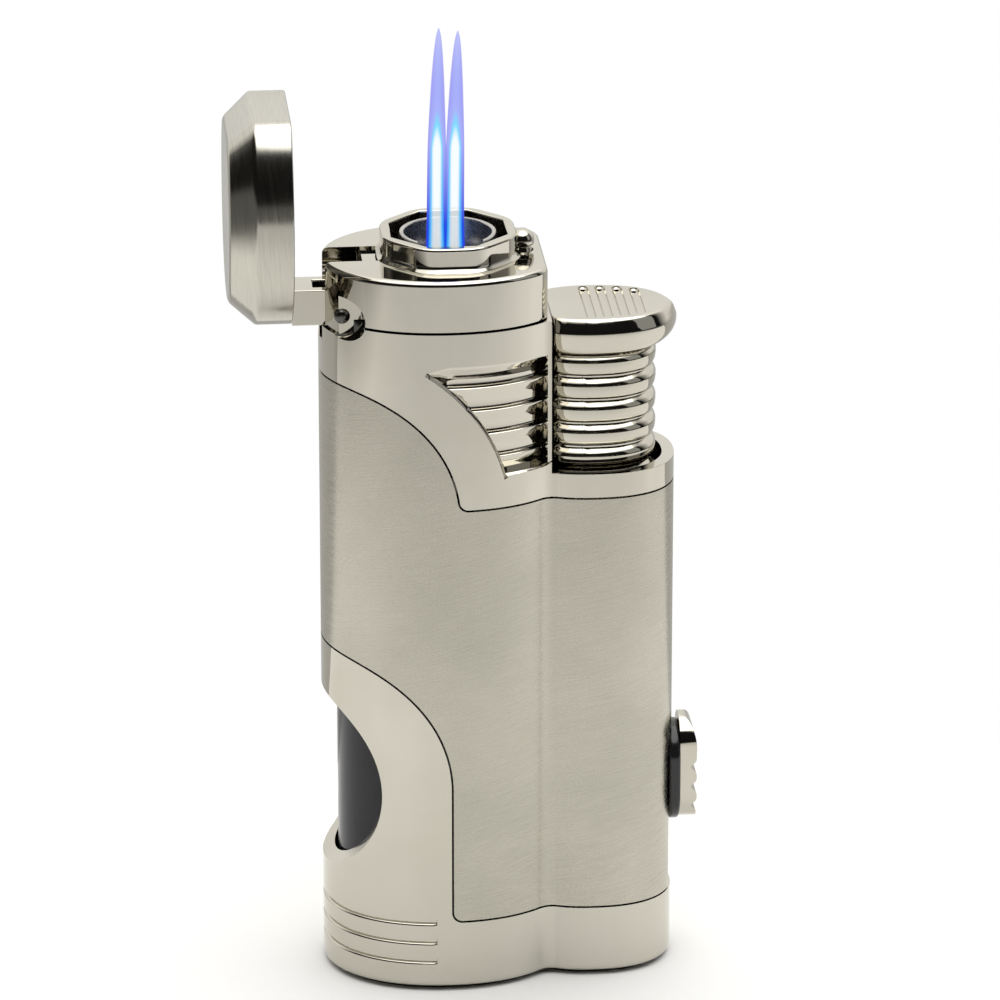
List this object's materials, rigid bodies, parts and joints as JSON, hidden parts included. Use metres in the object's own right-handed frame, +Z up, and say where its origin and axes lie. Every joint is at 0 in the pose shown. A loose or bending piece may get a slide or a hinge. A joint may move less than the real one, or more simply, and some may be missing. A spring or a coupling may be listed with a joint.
{
  "type": "torch lighter",
  "caption": "Butane jet pocket lighter: waisted metal body, flip lid on a side hinge, guarded jets, press button, fuel window and slide-out cigar punch.",
  "frame": {"origin": "centre of the underside of the base plate, on the mid planes of the body's width and depth", "axes": "+Z up along the body, +X from the lid hinge to the button, +Y to the back"},
  "size_m": [0.0466, 0.0196, 0.0897],
  "materials": {
    "brushed_nickel": "brushed",
    "polished_nickel": "polished",
    "black_gloss": "gloss",
    "smoked_tank": "smoked, translucent",
    "black_plastic": "moulded",
    "dark_steel": "blackened",
    "spring_steel": "drawn wire",
    "brass": "turned",
    "burner_metal": "heat tinted",
    "ceramic": "glazed ceramic",
    "hose": "translucent hose",
    "red_wire": "insulation",
    "seal": "moulded"
  },
  "bodies": {
    "body": {"body_shell": "brushed_nickel", "foot_trim": "polished_nickel", "base_plate": "black_gloss", "base_screws": "dark_steel", "upper_housing": "polished_nickel", "top_cap": "polished_nickel", "chimney": "polished_nickel", "flame_guard": "burner_metal", "burner_head": "burner_metal", "jet_nozzles": "brass", "mixing_tube": "brass", "burner_deck": "dark_steel", "gas_hose": "hose", "electrode": "spring_steel", "electrode_insulator": "ceramic", "ignition_wire": "red_wire", "hinge_pin": "dark_steel", "button_spring": "spring_steel", "piezo_body": "black_plastic", "inner_frame": "black_plastic", "lever_pin": "dark_steel", "lever_bracket": "dark_steel", "gas_valve": "brass", "fuel_tank": "smoked_tank", "tank_lid": "smoked_tank", "tank_gasket": "seal", "riser_tube": "hose", "regulator": "brass", "fill_valve": "brass", "bottom_seals": "seal", "punch_guide": "brass", "punch_spring": "spring_steel"},
    "lid": {"lid_shell": "brushed_nickel", "lid_liner": "dark_steel", "lid_arm": "polished_nickel", "arm_screws": "dark_steel", "lid_spring": "spring_steel"},
    "catch": {"lid_catch": "polished_nickel"},
    "button": {"thumb_button": "polished_nickel", "piezo_plunger": "brass"},
    "lever": {"valve_lever": "spring_steel"},
    "stem": {"valve_stem": "spring_steel"},
    "punch": {"punch_blade": "spring_steel", "punch_carrier": "black_plastic", "slide_plate": "black_gloss", "thumb_slide": "polished_nickel", "slide_screw": "dark_steel"},
    "dial": {"flame_adjuster": "brass"},
    "fill": {"fill_stem": "spring_steel"}
  },
  "joints": [
    {"name": "lid_hinge", "type": "hinge", "parent": "body", "child": "lid", "pos_m": [-0.01545, 0, 0.06988], "axis": [0, 1, 0], "range_deg": [0, 90], "stiffness_Nm_per_rad": 0.0015, "springref_deg": -28.65},
    {"name": "button_press", "type": "slide", "parent": "body", "child": "button", "axis": [0, 0, -1], "range_m": [0, 0.0045], "stiffness_N_per_m": 1200, "springref_m": -0.002, "deforming": ["button_spring"]},
    {"name": "catch_drop", "type": "slide", "parent": "body", "child": "catch", "axis": [0, 0, -1], "range_m": [0, 0.0006]},
    {"name": "lever_pivot", "type": "hinge", "parent": "body", "child": "lever", "pos_m": [-0.009, 0, 0.0474], "axis": [0, 1, 0], "range_deg": [0, 17.8]},
    {"name": "stem_slide", "type": "slide", "parent": "body", "child": "stem", "axis": [0, 0, -1], "range_m": [0, 0.002]},
    {"name": "punch_slide", "type": "slide", "parent": "body", "child": "punch", "axis": [0, 0, -1], "range_m": [0, 0.0065], "stiffness_N_per_m": 80, "springref_m": -0.004, "deforming": ["punch_spring"]},
    {"name": "flame_dial", "type": "hinge", "parent": "body", "child": "dial", "pos_m": [-0.0034, 0, 0.001], "axis": [0, 0, 1], "range_deg": [-120, 120]},
    {"name": "fill_press", "type": "slide", "parent": "body", "child": "fill", "axis": [0, 0, 1], "range_m": [0, 0.0012], "stiffness_N_per_m": 300}
  ],
  "couplings": [
    {"joint": "catch_drop", "follows": "button_press", "ratio": 0.13},
    {"joint": "lever_pivot", "follows": "button_press", "rad_per_m": 68},
    {"joint": "stem_slide", "follows": "button_press", "ratio": 0.4333}
  ]
}
